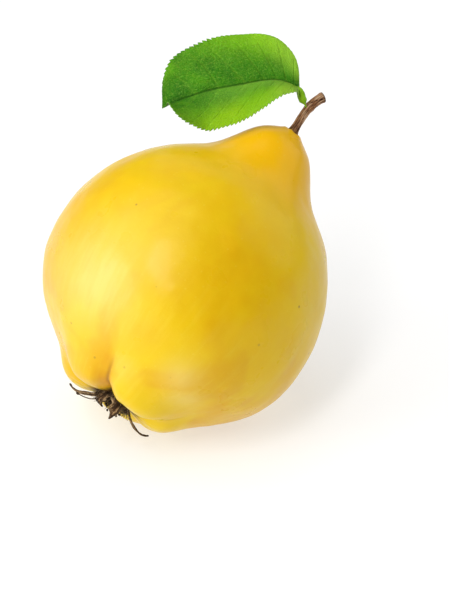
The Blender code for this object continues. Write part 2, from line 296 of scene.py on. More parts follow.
CRACK_SHADE = (0.028, 0.008, 0.003)
WOOD = ((0.16, 0.06, 0.022), (0.48, 0.29, 0.15))
END_RIM = (0.035, 0.011, 0.005)
FOOT = (0.26, 0.15, 0.03)
DEEP_GREEN = ((0.017, 0.148, 0.002), (0.042, 0.235, 0.003))
LIME = ((0.17, 0.46, 0.001), (0.24, 0.56, 0.001))
RIB_SIDE_SHEEN = (0.17, 0.4, 0.035)
FRONT_LIT_LIME = (0.26, 0.51, 0.001)
LIT_THROUGH_BASE = (0.3, 0.58, 0.04)
HAIRS = (0.28, 0.54, 0.06)
CLOUD = (0.13, 0.4, 0.003)
VEIN = (0.3, 0.56, 0.04)
FOLD_SHADOW = (0.016, 0.085, 0.002)
UNDERSIDE = ((0.14, 0.31, 0.05), (0.2, 0.4, 0.075))
UNDER_VEIN = (0.36, 0.54, 0.15)
LEAF_STALK = ((0.15, 0.37, 0.004), (0.27, 0.49, 0.015))
DRIED_SEPAL = ((0.018, 0.008, 0.003), (0.125, 0.064, 0.028), (0.5, 0.34, 0.18))
DRIED_STAMEN = ((0.012, 0.006, 0.003), (0.065, 0.034, 0.016), (0.26, 0.17, 0.09))
DRIED_STYLE = ((0.025, 0.013, 0.006), (0.12, 0.068, 0.034), (0.34, 0.23, 0.12))
DRIED_WOOL = ((0.035, 0.018, 0.008), (0.13, 0.08, 0.04), (0.42, 0.3, 0.17))
TABLE = ((0.45, 0.45, 0.455), (0.47, 0.47, 0.47))


# ---- shared maths


def hump(angle, centre, spread, power=2):
    """1 at the centre, falling smoothly to nothing past about twice the spread."""
    return exp(-(abs((angle - centre) / spread) ** power))


def smooth(value, low, high):
    """0 below low, 1 above high, and smooth between."""
    t = min(max((value - low) / (high - low), 0), 1)
    return t * t * (3 - 2 * t)


def wrapped(turn, along, fineness):
    """A place in a pattern that closes on itself round a bar, with its fineness across and along."""
    across, lengthwise = fineness
    return Vector((cos(turn) * across, sin(turn) * across, along * lengthwise))


def turn_between(azimuth, other):
    """The angle from one azimuth to another, from -180 to 180."""
    return (azimuth - other + 180) % 360 - 180


def around(azimuth):
    """The unit vector across the core line at an azimuth: 0 is -Y, and 90 is +X."""
    turn = radians(azimuth)
    return Vector((sin(turn), -cos(turn), 0))


EYE_OUT = around(EYE_TOWARDS) * sin(radians(EYE_TILT)) - UP * cos(radians(EYE_TILT))
EYE_RIGHT = (around(90) - EYE_OUT * EYE_OUT.dot(around(90))).normalized()
EYE_FRONT = EYE_RIGHT.cross(-EYE_OUT)
TIP_BACK = Matrix.Rotation(radians(-TIPPED_BACK), 3, "X")
TURN = TIP_BACK @ Matrix.Rotation(radians(TIPPED_RIGHT), 3, "Y")


def across_eye(azimuth):
    """The unit vector away from the eye's axis at an azimuth."""
    turn = radians(azimuth)
    return EYE_FRONT * cos(turn) + EYE_RIGHT * sin(turn)


def eye_direction(from_eye, azimuth):
    """The direction from the heart at an angle from the eye's axis and an azimuth."""
    lean = radians(from_eye)
    return EYE_OUT * cos(lean) + across_eye(azimuth) * sin(lean)


def furrow_depth(from_eye, azimuth):
    """How deep the creases round the eye and the valleys beyond them are."""
    depth = 0
    for furrow, share in FURROWS.items():
        off = turn_between(azimuth, furrow)
        crease = hump(from_eye, *CREASE_RUN) * hump(off, 0, CREASE_WIDTH)
        valley = hump(from_eye, *VALLEY_RUN) * hump(off, 0, VALLEY_WIDTH)
        depth += share * (CREASE_DEPTH * crease + VALLEY_DEPTH * valley)
    return depth


def flesh_radius(direction):
    """The flesh's distance from the heart along a unit direction, as in the CAD."""
    from_stalk, from_eye = (degrees(direction.angle(axis)) for axis in (UP, EYE_OUT))
    azimuth = degrees(atan2(direction.dot(EYE_RIGHT), direction.dot(EYE_FRONT)))
    radius = BODY_RADIUS + NECK_HEIGHT * hump(from_stalk, *NECK_RUN)
    radius += BELLY_SWELL * hump(from_stalk, *BELLY_RUN)
    radius += RIM_HEIGHT * hump(from_eye, *RIM_RUN) - EYE_DEPTH * hump(from_eye, *EYE_RUN)
    radius -= furrow_depth(from_eye, azimuth)
    return radius + LUMP_HEIGHT * noise(direction * LUMPS_PER_RADIUS)


def arc(from_eye, turn):
    """The length, in mm, of an arc of so many degrees round the eye."""
    return radians(turn) * sin(radians(from_eye)) * BODY_RADIUS / MM


def seam_share(from_eye, azimuth):
    """How nearly a place lies on the fine seam in a crease, from 0 to 1."""
    reach, fineness = SEAM_WANDER
    found = 0
    for furrow, share in CREASE_SHADE_AND_SEAMS.items():
        wander = reach * noise(Vector((furrow, from_eye * fineness, 0)))
        off = arc(from_eye, turn_between(azimuth, furrow + wander))
        found = max(found, share * hump(off, 0, SEAM_WIDTH) * hump(from_eye, *SEAM_RUN))
    return found


def crease_shade_share(from_eye, azimuth):
    """How strongly painted shade darkens the skin beside a crease, from 0 to 1."""
    found = 0
    for furrow, share in CREASE_SHADE_AND_SEAMS.items():
        off = arc(from_eye, turn_between(azimuth, furrow - CREASE_SHADE_OFF))
        spread = CREASE_SHADE_WIDTH * max(1.5 - from_eye / 60, 0.5)
        found = max(found, share * hump(off, 0, spread) * hump(from_eye, *CREASE_SHADE_RUN))
    return found


def patch_share(direction, patches):
    """How far a direction is inside soft patches of colour, from 0 to 1."""
    return max(
        share * hump(degrees(direction.angle(eye_direction(from_eye, azimuth))), 0, spread)
        for from_eye, azimuth, spread, share in patches
    )


def skin_detail(direction, from_stalk, from_eye, azimuth):
    """What the skin adds to the flesh along a direction."""
    ring = wrapped(radians(azimuth), from_eye, PUCKERS)
    pucker = abs(noise(ring)) + 0.5 * abs(noise(ring * PUCKER_FINENESS))
    extra = -PUCKER_DEPTH * hump(from_eye, *PUCKER_RUN) * (1 - min(pucker * PUCKER_SHARPNESS, 1))
    extra -= SEAM_DEPTH * seam_share(from_eye, azimuth)
    lip = hump(from_stalk, *SEAT_LIP_RUN)
    extra += SEAT_LIP * lip * (0.7 + 0.6 * noise(direction * SEAT_LIP_LUMPS))
    extra -= SEAT_DIP * hump(from_stalk, *SEAT_DIP_RUN)
    beside = hump(turn_between(azimuth, HOLLOW_TOWARDS), 0, HOLLOW_WIDTH)
    extra -= HOLLOW_DEPTH * hump(from_stalk, *HOLLOW_RUN) * beside
    for fineness, height in DENTS:
        extra += height * MM * noise(direction * fineness + DENT_SEED)
    return extra


def off_skin(from_eye, azimuth, lift):
    """A point about the heart, at a lift above the flesh."""
    direction = eye_direction(from_eye, azimuth)
    return direction * (flesh_radius(direction) + lift)


def smooth_path(points, share):
    """A point at a share of the way along a Catmull-Rom curve through points."""
    ends = [points[0] * 2 - points[1], *points, points[-1] * 2 - points[-2]]
    place = min(max(share, 0), 1) * (len(points) - 1)
    first = min(int(place), len(points) - 2)
    t = place - first
    a, b, c, d = ends[first : first + 4]
    bend = (2 * a - 5 * b + 4 * c - d) * t**2 + (3 * b - a - 3 * c + d) * t**3
    return (2 * b + (c - a) * t + bend) / 2


# ---- mesh building


class Shape:
    """Points, faces and per-point values, gathered before they become one mesh."""

    def __init__(self):
        self.points = []
        self.faces = []
        self.values = {}

    def add_point(self, point, **values):
        """Adds a point with its values, and returns its number."""
        for name, value in values.items():
            self.values.setdefault(name, {})[len(self.points)] = value
        self.points.append(tuple(point))
        return len(self.points) - 1

    def join_rings(self, rings):
        """Quads between closed rings of point numbers."""
        for ring, after in zip(rings, rings[1:]):
            self.faces += [(ring[i - 1], ring[i], after[i], after[i - 1]) for i in range(len(ring))]

    def join_rows(self, rows):
        """Quads between open rows of point numbers."""
        for row, after in zip(rows, rows[1:]):
            self.faces += zip(row, row[1:], after[1:], after)

    def join_strips(self, rings):
        """Joins flat rings, each a row of points and a row back, and closes both ends."""
        self.join_rings(rings)
        for ring in (rings[0], rings[-1]):
            half = len(ring) // 2
            self.join_rows([ring[:half], ring[: half - 1 : -1]])

    def join_bar(self, rings, first, last):
        """Joins closed rings, and closes both ends to one point each."""
        self.join_rings(rings)
        for ring, middle in ((rings[0], first), (rings[-1], last)):
            self.faces += [(ring[i - 1], ring[i], middle) for i in range(len(ring))]

    def add_values(self, mesh):
        """Stores the points' values on the mesh; a point without one has 0."""
        for name, found in self.values.items():
            width = np.atleast_1d(next(iter(found.values()))).size
            filled = np.zeros((len(self.points), width), np.float32)
            filled[list(found)] = np.reshape(list(found.values()), (-1, width))
            kind, key = ("FLOAT", "value") if width == 1 else ("FLOAT_VECTOR", "vector")
            mesh.attributes.new(name, kind, "POINT").data.foreach_set(key, filled.ravel())

    def make(self, name, place, look, slot, node=None):
        """The finished object, with its look and its CAD node; slot is not used."""
        mesh = bpy.data.meshes.new(name)
        mesh.from_pydata([place(Vector(p)) for p in self.points], [], self.faces)
        self.add_values(mesh)
        mesh.validate()
        face_outwards(mesh)
        mesh.shade_smooth()
        mesh.materials.append(look)
        obj = add_object(name, mesh)
        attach(obj, "root")
        if node:
            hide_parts(node)


def add_object(name, data):
    """A new object in the scene."""
    obj = bpy.data.objects.new(name, data)
    bpy.context.scene.collection.objects.link(obj)
    return obj


def face_outwards(mesh):
    """Turns every face of a closed mesh outwards."""
    bm = bmesh.new()
    bm.from_mesh(mesh)
    bmesh.ops.recalc_face_normals(bm, faces=bm.faces)
    bm.to_mesh(mesh)
    bm.free()


def tangents(points):
    """The unit direction of a path at each of its points."""
    pairs = zip([points[0], *points], [*points[1:], points[-1]])
    return [(after - before).normalized() for before, after in pairs]


def frames_along(points):
    """Two unit vectors across each point of a path, which turn as little as possible."""
    across = tangents(points)[0].orthogonal().normalized()
    found = []
    for tangent in tangents(points):
        across = (across - tangent * across.dot(tangent)).normalized()
        found.append((across, tangent.cross(across)))
    return found


def shares(count):
    """Even steps from 0 to 1."""
    return [i / (count - 1) for i in range(count)]


def turns(count):
    """Even steps of one whole turn, in radians."""
    return [2 * pi * k / count for k in range(count)]


def add_rings(shape, points, segments, point_at):
    """Rings along points; point_at(share, turn) gives a radius and the point's values."""
    rings = []
    for point, (right, up), share in zip(points, frames_along(points), shares(len(points))):
        ring = []
        for turn in turns(segments):
            radius, values = point_at(share, turn)
            spot = point + (right * cos(turn) + up * sin(turn)) * radius
            ring.append(shape.add_point(spot, length=share, **values))
        rings.append(ring)
    return rings


def add_tube(shape, points, radius_at, segments, **values):
    """A closed round bar along points, where radius_at(share, turn) gives its radius."""
    rings = add_rings(shape, points, segments, lambda share, turn: (radius_at(share, turn), values))
    foot = shape.add_point(points[0], length=0, **values)
    shape.join_bar(rings, foot, shape.add_point(points[-1], length=1, **values))


# ---- material building


class Look:
    """A node material, with a short method for each kind of node."""

    def __init__(self, name):
        self.material = bpy.data.materials.new(name)
        self.material.use_nodes = True
        self.tree = self.material.node_tree
        self.shader = self.tree.nodes["Principled BSDF"]
        self.place = self.node("TexCoord", {})["Object"]

    def node(self, kind, inputs, **settings):
        """Adds a node, feeds its inputs, and returns its outputs."""
        made = self.tree.nodes.new("ShaderNode" + kind)
        for key, value in settings.items():
            setattr(made, key, value)
        for key, value in inputs.items():
            self.feed(made.inputs[key], value)
        return made.outputs

    def feed(self, socket, value):
        """Links an output to a socket, or sets a constant on it."""
        if isinstance(value, bpy.types.NodeSocket):
            self.tree.links.new(value, socket)
        else:
            socket.default_value = (*value, 1) if socket.type == "RGBA" else value

    def value(self, name, output="Fac"):
        """A per-point number of the mesh, or a vector where the output is Vector."""
        return self.node("Attribute", {}, attribute_name=name)[output]

    def noise(self, scale, detail=2, roughness=0.5, **more):
        """Cloudy noise from 0 to 1."""
        inputs = {"Vector": self.place, "Scale": scale, "Detail": detail, "Roughness": roughness}
        return self.node("TexNoise", {**inputs, **more})["Fac"]

    def cells(self, scale, feature="F1", **more):
        """The outputs of a texture of cells."""
        return self.node("TexVoronoi", {"Vector": self.place, "Scale": scale, **more}, feature=feature)

    def range(self, value, low, high, to_low=0, to_high=1, kind="LINEAR"):
        """A value stretched from one range to another and held at its ends."""
        inputs = {"Value": value, "From Min": low, "From Max": high, "To Min": to_low, "To Max": to_high}
        return self.node("MapRange", inputs, interpolation_type=kind)["Result"]

    def ease(self, value, low, high, to_low=0, to_high=1):
        """As range, but smooth at both ends."""
        return self.range(value, low, high, to_low, to_high, "SMOOTHSTEP")

    def maths(self, operation, a, b):
        """One sum on two values."""
        return self.node("Math", {0: a, 1: b}, operation=operation)["Value"]

    def times(self, a, b):
        """The product of two values."""
        return self.maths("MULTIPLY", a, b)

    def mix(self, share, a, b):
        """A colour between two others."""
        return self.node("Mix", {0: share, 6: a, 7: b}, data_type="RGBA")[2]

    def layers(self, colour, *paints):
        """A colour under layers of paint, each with how much of it shows first."""
        for share, paint in paints:
            colour = self.mix(share, colour, paint)
        return colour

    def bump(self, height, distance, strength=1, **after):
        """A bumped normal, on top of Normal where that is given."""
        inputs = {"Height": height, "Distance": distance, "Strength": strength, **after}
        return self.node("Bump", inputs)["Normal"]

    def surface(self, colour, roughness, specular=0.5, soft=(0, 0.05), **sockets):
        """The finished material. Light goes under it by soft: how much, and how deep."""
        sockets |= {"Base Color": colour, "Roughness": roughness, "Specular IOR Level": specular}
        sockets["Subsurface Weight"], sockets["Subsurface Scale"] = soft
        for key, value in sockets.items():
            self.feed(self.shader.inputs[key], value)
        return self.material


def skin_look():
    """Ripe skin: lemon yellow, deeper at the neck, with faint mottling and specks, and dark brown in the
    eye and at the stalk's seat. Painted shade: darker ochre patches, beside the creases, along their
    seams and in the gaps round the eye. Painted highlights: pale patches, glint streaks and paler skin
    round the eye's rim.
    """
    look = Look("quince_skin")
    from_stalk, from_eye = look.value("from_stalk"), look.value("from_eye")
    broad = look.noise(26)
    ochre = look.ease(look.noise(42, Distortion=0.6), 0.48, 0.64, 0, 0.75)
    blush = look.times(look.value("blush"), look.range(look.noise(60, 3), 0.35, 0.6, 0.6, 1))
    streak = look.noise(1, 4, 0.6, Vector=look.value("streak_map", "Vector"))
    # painted glints: pale streaks over the lower half of the fruit
    glint_streaks = look.times(look.range(streak, 0.5, 0.72, 0, 0.32), look.range(from_eye, 95, 50))
    # painted highlights: pale patches, broken up by the streak pattern
    pale = look.times(look.value("pale"), look.range(streak, 0.38, 0.6, 0.84, 1))
    # painted highlight: paler skin round the eye's rim
    rim = look.times(look.ease(from_eye, 32, 14, 0, 0.35), look.range(broad, 0.3, 0.6))
    # painted shade: darker orange beside the creases
    crease_shade = look.times(look.value("crease"), look.range(look.noise(170, 3), 0.35, 0.6, 0.6, 1))
    pale_dot = look.cells(420)["Distance"]
    dot = look.cells(150)
    specks = look.times(look.range(dot["Distance"], 0.085, 0.04), look.range(dot["Color"], 0.57, 0.61))
    colour = look.layers(
        look.mix(look.range(broad, 0.38, 0.62), LEMON, GOLD),
        (look.times(ochre, look.range(from_eye, 150, 60)), OCHRE),
        # painted shade as well as a riper tone: darker ochre patches, mostly across the front
        (look.times(blush, 0.85), BLUSH_AND_SHADE),
        (look.range(look.noise(190, 4, 0.6), 0.35, 0.7, 0, 0.22), SHEEN),
        (look.ease(from_stalk, 46, 12, 0, 0.8), NECK),
        (look.times(glint_streaks, look.range(look.noise(30, 1), 0.42, 0.58)), GLINT_STREAK),
        (pale, PAINTED_HIGHLIGHT),
        (rim, RIM_HIGHLIGHT),
        (look.times(crease_shade, 0.85), CREASE_SHADE_COLOUR),
        # painted shade: a dark brown line along the seam in each crease
        (look.times(look.value("seam"), 0.7), SEAM_SHADE),
        # the eye's dark brown floor, carried out over the skin seen between the threads and sepals as
        # painted shade
        (look.ease(from_eye, 13.5, 8.5, 0, 0.95), look.mix(look.noise(700, 3), *EYE_FLOOR_AND_SHADE)),
        (look.ease(from_stalk, 3.1, 1.6, 0, 0.8), SEAT),
        (look.range(pale_dot, 0.16, 0.08, 0, 0.16), PALE_DOT),
        (look.times(specks, 0.75), SPECK),
    )
    roughness = look.range(look.noise(90, 3), 0.3, 0.7, 0.26, 0.34)
    pores = look.bump(look.noise(260, 3, 0.55), 0.00014, 0.6)
    normal = look.bump(look.noise(1700, 2, 0.6), 0.00003, 0.6, Normal=pores)
    return look.surface(colour, roughness, 0.2, (0.05, 0.003), Normal=normal)


def bark_look():
    """Dry brown bark: cracks between ridges darkened with painted shade, some weathered grey-beige."""
    look = Look("quince_stalk_bark")
    groove = look.value("groove")
    grain = look.noise(1, 4, 0.65, Vector=look.value("bark_map", "Vector"))
    worn = look.range(look.noise(210), 0.4, 0.58)
    colour = look.layers(
        look.mix(look.range(grain, 0.42, 0.57), *BARK),
        (look.times(look.range(groove, 0.5, 1, 0, 0.9), worn), WEATHERED),
        # painted shade: near black in the bark's cracks
        (look.range(groove, 0.72, 0.2), CRACK_SHADE),
        (look.value("cut_end"), look.mix(look.noise(900), *WOOD)),
        (look.times(look.value("end_rim"), 0.8), END_RIM),
        (look.range(look.value("length"), 0.08, 0, 0, 0.4), FOOT),
    )
    roughness = look.range(grain, 0.3, 0.7, 0.82, 0.58)
    return look.surface(colour, roughness, 0.25, Normal=look.bump(grain, 0.0002))


def leaf_face(look, out, along, blotch):
    """The upper side without veins: mid green by the rib and lime at the margin, with painted light: a
    sheen by the rib and lighter lime on the front half, and a lit-through paleness at the base.
    """
    front = look.range(look.value("half"), 0.4, 0.2)
    on_front = look.times(front, look.ease(along, 0.9, 0.5))
    edge = look.times(look.ease(out, 0.3, 0.88, 0, 0.95), look.ease(along, 0.75, 0.3, 0.15, 1))
    off_rib = look.maths("MAXIMUM", front, look.range(out, 0.15, 0.6))
    cloud = look.noise(75, 3, 0.6, Distortion=0.5)
    return look.layers(
        look.mix(look.range(blotch, 0.35, 0.65), *DEEP_GREEN),
        (edge, look.mix(look.range(blotch, 0.3, 0.7), *LIME)),
        # painted light on the front half, which faces the lamps: a pale sheen by the rib, and lighter
        # lime further out
        (look.times(look.range(out, 0.65, 0.02, 0, 0.9), on_front), RIB_SIDE_SHEEN),
        (look.times(look.range(out, 0.25, 0.7, 0, 0.9), on_front), FRONT_LIT_LIME),
        # painted light: paler lime towards the leaf's thin base, as if lit through
        (look.times(look.ease(along, 0.48, 0.1, 0, 0.85), off_rib), LIT_THROUGH_BASE),
        (look.range(look.noise(2300, 2, 0.6), 0.5, 0.66, 0, 0.3), HAIRS),
        (look.range(cloud, 0.5, 0.66, 0, 0.35), CLOUD),
    )


def leaf_look():
    """A fresh leaf, paler underneath, with a fine net of veins and a painted shadow down the fold at the
    midrib.
    """
    look = Look("quince_leaf_green")
    out, along, vein = (look.value(name) for name in ("out", "along", "vein"))
    blotch = look.noise(150, 3, 0.6)
    place = look.value("vein_map", "Vector")
    net, fine_net = (
        look.cells(size, "DISTANCE_TO_EDGE", Vector=place)["Distance"] for size in (1, 2.6)
    )
    lines = look.range(net, 0.12, 0.02)
    face = leaf_face(look, out, along, blotch)
    pale = look.mix(0.5, face, VEIN)
    under_veins = look.maths("MAXIMUM", look.times(vein, 0.8), look.times(lines, 0.35))
    under = look.mix(look.range(blotch, 0.3, 0.7), *UNDERSIDE)
    below = look.times(look.value("under"), look.range(along, 0.97, 0.86))
    colour = look.layers(
        face,
        (look.times(lines, 0.16), pale),
        (look.times(look.range(fine_net, 0.12, 0.02), 0.1), pale),
        (look.times(vein, 0.24), pale),
        # painted shadow: a dark line down the fold along the midrib
        (look.range(out, 0.03, 0, 0, 0.55), FOLD_SHADOW),
        (below, look.mix(under_veins, under, UNDER_VEIN)),
        (look.value("stem"), look.mix(look.noise(500, 3), *LEAF_STALK)),
    )
    roughness = look.range(look.noise(600), 0.3, 0.7, 0.42, 0.56)
    fine_relief = look.times(look.range(fine_net, 0, 0.2), 0.5)
    relief = look.maths("ADD", look.range(net, 0, 0.22), fine_relief)
    normal = look.bump(relief, 0.00016, 0.9)
    return look.surface(colour, roughness, 0.12, (0.05, 0.001), Normal=normal)


def dried_look(name, dark, middle, pale):
    """Dead, shrivelled flower parts: dark brown with paler ribs and edges."""
    look = Look(name)
    grain = look.noise(1, 4, 0.7, Vector=look.value("grain_map", "Vector"))
    patch = look.range(look.noise(620, 3, 0.6), 0.42, 0.58)
    edge = look.times(look.value("edge"), look.range(look.noise(900), 0.35, 0.6))
    colour = look.layers(
        look.mix(look.range(grain, 0.38, 0.6), dark, middle),
        (look.times(patch, 0.7), dark),
        (edge, pale),
        (look.range(grain, 0.56, 0.66, 0, 0.9), pale),
        (look.range(look.value("length"), 0.6, 1, 0, 0.7), dark),
    )
    roughness = look.range(grain, 0.3, 0.7, 0.9, 0.7)
    return look.surface(colour, roughness, 0.2, Normal=look.bump(grain, 0.0002))


def floor_look():
    """A plain white table, lit a little from inside."""
    look = Look("white_table")
    glow = {"Emission Color": WHITE, "Emission Strength": FLOOR_GLOW}
    roughness = look.range(look.noise(40), 0.3, 0.7, 0.8, 0.9)
    return look.surface(look.mix(look.noise(3), *TABLE), roughness, **glow)


# ---- the pieces


def skin_rings():
    """Angles from the eye for the skin's rings, closer together at both ends."""
    inner = shares(SKIN_RINGS + 1)[1:-1]
    return [180 * (share - RINGS_CROWD_ENDS * sin(2 * pi * share) / (2 * pi)) for share in inner]


def skin_point(shape, from_eye, azimuth):
    """Adds one point of the skin, about the heart."""
    direction = eye_direction(from_eye, azimuth)
    from_stalk = degrees(direction.angle(UP))
    radius = flesh_radius(direction) + skin_detail(direction, from_stalk, from_eye, azimuth)
    return shape.add_point(
        direction * radius, from_eye=from_eye, from_stalk=from_stalk,
        # Colour masks, some of them painted light: shade by the creases and their seams, ochre patches
        # partly as shade, pale patches as highlights
        crease=crease_shade_share(from_eye, azimuth), seam=seam_share(from_eye, azimuth),
        blush=patch_share(direction, BLUSH_AND_SHADE_PATCHES), pale=patch_share(direction, PAINTED_HIGHLIGHT_PATCHES),
        streak_map=wrapped(atan2(direction.x, direction.y), from_stalk, STREAKS),
    )


def make_skin_shape():
    """The whole skin, about the heart, before it is cut flat."""
    shape = Shape()
    rings = [
        [skin_point(shape, from_eye, 360 * k / SKIN_SEGMENTS) for k in range(SKIN_SEGMENTS)]
        for from_eye in skin_rings()
    ]
    shape.join_bar(rings, skin_point(shape, 0, 0), skin_point(shape, 180, 0))
    return shape


def heart_from_frame(shape):
    """Where the heart is, so that the tipped skin fills the CAD fruit's box."""
    turned = np.array(shape.points) @ np.array(TURN).T
    low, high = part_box("fruit")
    skin_low, skin_high = turned.min(0), turned.max(0)
    x = (low.x + high.x) / 2 - (skin_low[0] + skin_high[0]) / 2
    y = (low.y + high.y) / 2 - (skin_low[1] + skin_high[1]) / 2
    return Vector((x, y, high.z - skin_high[2]))


def placer(heart):
    """A function that takes a point about the heart into the frame."""
    return lambda point: heart + TURN @ point


def make_skin(shape, place, look):
    """The fruit, with the flat spot that it rests on."""

    def rest(point):
        x, y, z = place(point)
        return Vector((x, y, max(z, 0)))

    shape.make("quince_skin", rest, look, "skin", "fruit")


def stalk_bones(count):
    """Points up the stalk's centre, about the heart."""
    foot = UP * (flesh_radius(UP) + GAP)
    return interpolate_bezier(foot, *(foot + Vector(bend) * MM for bend in STALK_BENDS), count)


def stalk_radius(share):
    """The stalk's radius without bark: more at the foot, the end and where the leaf joins."""
    radius = STALK_RADIUS + STALK_END_FLARE * share**2
    radius += STALK_FOOT_FLARE * exp(-share / STALK_FOOT_LENGTH)
    radius += STALK_END_LIP * hump(share, *STALK_END_LIP_RUN)
    return radius + STALK_JOINT_SWELL * hump(share, LEAF_JOINT, STALK_JOINT_SPREAD)


def bark(share, turn):
    """The stalk's radius with its bark, and the values of the point there."""
    place = wrapped(turn, share, BARK_RIDGES)
    ridge = noise(place)
    cracks = smooth(abs(noise(place * BARK_GROOVES + BARK_SEED)), 0, 0.16)
    fine = noise(place * BARK_FINENESS)
    knot = noise(Vector((place.x, place.y, share * BARK_KNOTS)))
    height = BARK_GROOVE * (cracks - 0.7) + BARK_RIDGE * ridge + BARK_FINE * fine + BARK_KNOT * knot
    return stalk_radius(share) * (1 + height), {
        "groove": min(max(cracks * (0.8 + 0.6 * ridge) + 0.5 * fine, 0), 1),
        "bark_map": wrapped(turn, share, BARK_GRAIN),
        "end_rim": smooth(share, *END_RIM_FROM),
    }


def add_cut_end(shape, rim_ring, end, inwards):
    """The rings of the cut end, which is a little hollow and rough."""
    rings = []
    across, along = CUT_END_GRAIN
    for size, depth, dark in CUT_END:
        ring = []
        for k, number in enumerate(rim_ring):
            rim = Vector(shape.points[number])
            rough = noise(rim * CUT_END_FINENESS + Vector((size * across, 0, 0)))
            spot = end + (rim - end) * size + inwards * (depth * MM + CUT_END_ROUGH * rough)
            values = {"end_rim": dark, "bark_map": (size * across, k * along, 1)}
            ring.append(shape.add_point(spot, length=1, groove=0.8, cut_end=1, **values))
        rings.append(ring)
    return rings


def make_stalk(place, look):
    """The woody stalk: grooved bark, a flared foot on the skin, and a hollowed cut end."""
    points = stalk_bones(STALK_RINGS)
    points[0] = points[0] - UP * STALK_FOOT_SUNK
    shape = Shape()
    rings = add_rings(shape, points, STALK_SEGMENTS, bark)
    inwards = (points[-2] - points[-1]).normalized()
    rings += add_cut_end(shape, rings[-1], points[-1], inwards)
    foot = shape.add_point(points[0], length=0, groove=0.5)
    middle = points[-1] + inwards * CUT_END_MIDDLE
    shape.join_bar(rings, foot, shape.add_point(middle, length=1, groove=0.8, cut_end=1))
    shape.make("quince_stalk", place, look, "stalk_bark", "stalk")


def blade_width(along, half):
    """The half width of a half of the blade at a share of its length."""
    reach = min(max(along / BLADE_ENDS[half], 0), 1)
    outline = sin(pi * reach ** (log(0.5) / log(BLADE_WIDEST[half])))
    width = BLADE_HALF_WIDTH[half] * max(outline, 0) ** BLADE_POINTEDNESS[half]
    tip = TIP_HALF_WIDTH * min((1 - along) / TIP_LENGTH, 1)
    return max(width, tip if along > LIFT_FROM else 0, BLADE_LEAST)


def blade_fold(along, half):
    """How far a half of the blade is folded up from flat, in degrees."""
    if half:
        return BLADE_FOLD[half]
    end = int(along >= LIFT_FROM)
    towards_end = (along - LIFT_FROM) / (end - LIFT_FROM)
    return BLADE_FOLD[half] + FRONT_HALF_LIFT[end] * towards_end**LIFT_POWER


def blade_point(along, across):
    """A point in the middle of the blade's thickness; across is from -1, the front margin, to 1."""
    along = min(max(along, 0), 1)
    place = smooth_path(MIDRIB_POINTS, BLADE_STARTS + (1 - BLADE_STARTS) * along)
    out, half = abs(across), int(across > 0)
    half_width = blade_width(along, half)
    fold = radians(blade_fold(along, half)) * min(along / FOLDS_WITHIN, 1)
    flat = min(along / FLATTENS_WITHIN, 1)
    height = half_width * (sin(fold) * out - BLADE_DROOP * flat * out**3)
    return place + LEAF_SIDE * across * half_width * cos(fold) + LEAF_FACE * height


def margin_places(half):
    """For even steps along a margin, the share of the blade's length."""
    along = np.linspace(0, 1, MARGIN_SAMPLES)
    points = np.array([blade_point(float(share), 1 if half else -1) for share in along])
    steps = np.append(0, np.linalg.norm(np.diff(points, axis=0), axis=1).cumsum())
    return np.interp(np.linspace(0, steps[-1], MARGIN_STEPS), steps, along)


def tooth_height(step, sizes):
    """How far the margin stands out at a step: teeth that lean towards the tip."""
    phase = step / (MARGIN_STEPS - 1) * TEETH
    tooth = int(phase)
    rise = phase - tooth
    least, most = TOOTH_DEPTH
    depth = least + (most - least) * sizes[tooth % TEETH]
    shape = rise**0.8 if rise < TOOTH_PEAK else (1 - rise) / (1 - TOOTH_PEAK)
    return depth * (shape - 0.4)


def vein_share(s, out):
    """How nearly a place lies on a side vein, from 0 to 1."""
    place = s * (VEINS + 1) - 0.5
    nearest = min(max(round(place), 0), VEINS - 1)
    away = abs(place - nearest) / (VEINS + 1)
    return exp(-((away / (VEIN_HALF_WIDTH * (1.15 - 0.7 * out))) ** 2)) * smooth(1.02 - out, 0, 0.25)


def blade_surface():
    """The blade's middle surface, without teeth, as an array from the front margin to the back."""
    s = np.linspace(0, 1, MARGIN_STEPS)
    at_rib = s - VEIN_LAG * np.sin(np.pi * s)
    surface = np.zeros((MARGIN_STEPS, 2 * BLADE_ROWS + 1, 3))
    for half in (0, 1):
        margin = margin_places(half)
        for row in range(BLADE_ROWS + 1):
            out = row / BLADE_ROWS
            column = BLADE_ROWS + (row if half else -row)
            for i in range(MARGIN_STEPS):
                along = at_rib[i] + (margin[i] - at_rib[i]) * out**1.1
                surface[i, column] = blade_point(float(along), out if half else -out)
    return surface


def surface_normals(surface):
    """Unit normals of a grid of points, towards the leaf's face."""
    normals = np.cross(np.gradient(surface, axis=1), np.gradient(surface, axis=0))
    lengths = np.linalg.norm(normals, axis=2, keepdims=True)
    return np.where(lengths > 1e-14, normals / np.maximum(lengths, 1e-14), np.array(BLADE_FACES))


def unit_rows(vectors):
    """An array of vectors, each made one long."""
    return vectors / np.maximum(np.linalg.norm(vectors, axis=1, keepdims=True), 1e-12)


def add_teeth(surface):
    """Pushes the margins out into teeth."""
    for half in (0, 1):
        chance = Random(f"teeth {half}")
        sizes = [chance.random() ** 1.5 for _ in range(TEETH)]
        edge, step_in = (2 * BLADE_ROWS, -1) if half else (0, 1)
        margin = surface[:, edge].copy()
        run = unit_rows(np.gradient(margin, axis=0))
        inwards = surface[:, edge + 3 * step_in] - margin
        inwards = unit_rows(inwards - run * (inwards * run).sum(1, keepdims=True))
        least, more = BACK_TEETH if half else (1, 0)
        for i in range(6, MARGIN_STEPS - 3):
            s = i / (MARGIN_STEPS - 1)
            height = tooth_height(i, sizes) * (least + more * smooth(s, 0.45, 0.62))
            push = (run[i] * TOOTH_LEAN - inwards[i]) * height * smooth(s, 0.02, 0.12)
            for row, share in enumerate(TOOTH_ROWS):
                surface[i, edge + row * step_in] += push * share


